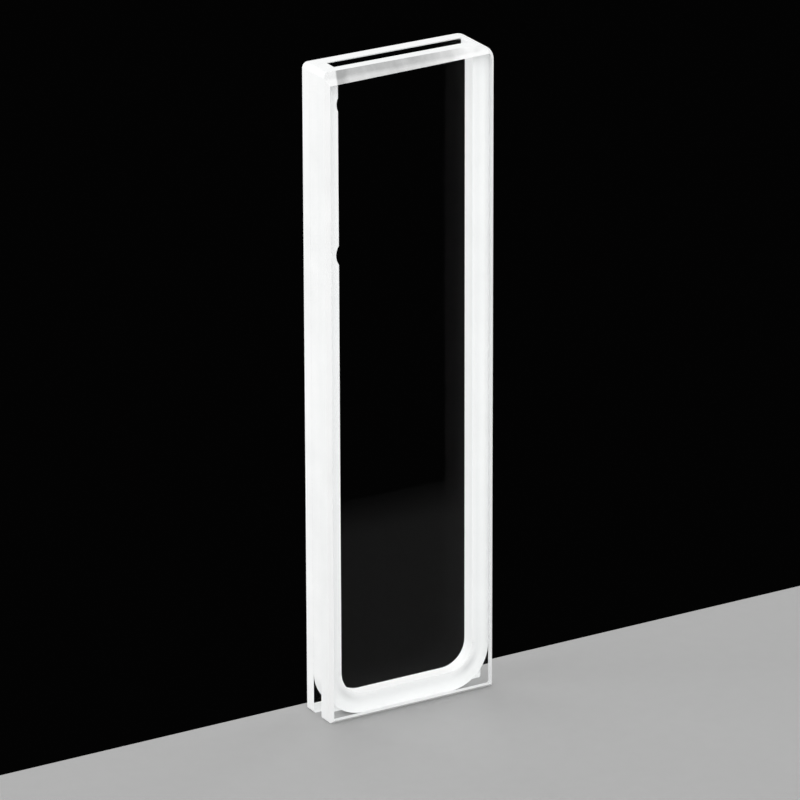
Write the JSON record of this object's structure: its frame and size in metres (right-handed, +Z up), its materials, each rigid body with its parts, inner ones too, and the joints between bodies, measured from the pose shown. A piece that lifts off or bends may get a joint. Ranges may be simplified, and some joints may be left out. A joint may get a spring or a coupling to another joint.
{
  "type": "cuvette",
  "caption": "Short-path optical cell, open at the top: clear glass window plates fused to a U-shaped frosted spacer frame that holds a thin film of liquid.",
  "frame": {"origin": "middle of the base, on the surface that the cell stands on", "axes": "+Z up to the open top, X across the windows, the front window with the lip faces -Y"},
  "size_m": [0.0126, 0.0036, 0.045],
  "materials": {
    "window_glass": "polished clear faces with ground white edges and bevels",
    "frosted_glass": "ground matte white, translucent"
  },
  "bodies": {
    "root": {"front_window": "window_glass", "back_window": "window_glass", "spacer_frame": "frosted_glass"}
  },
  "joints": []
}
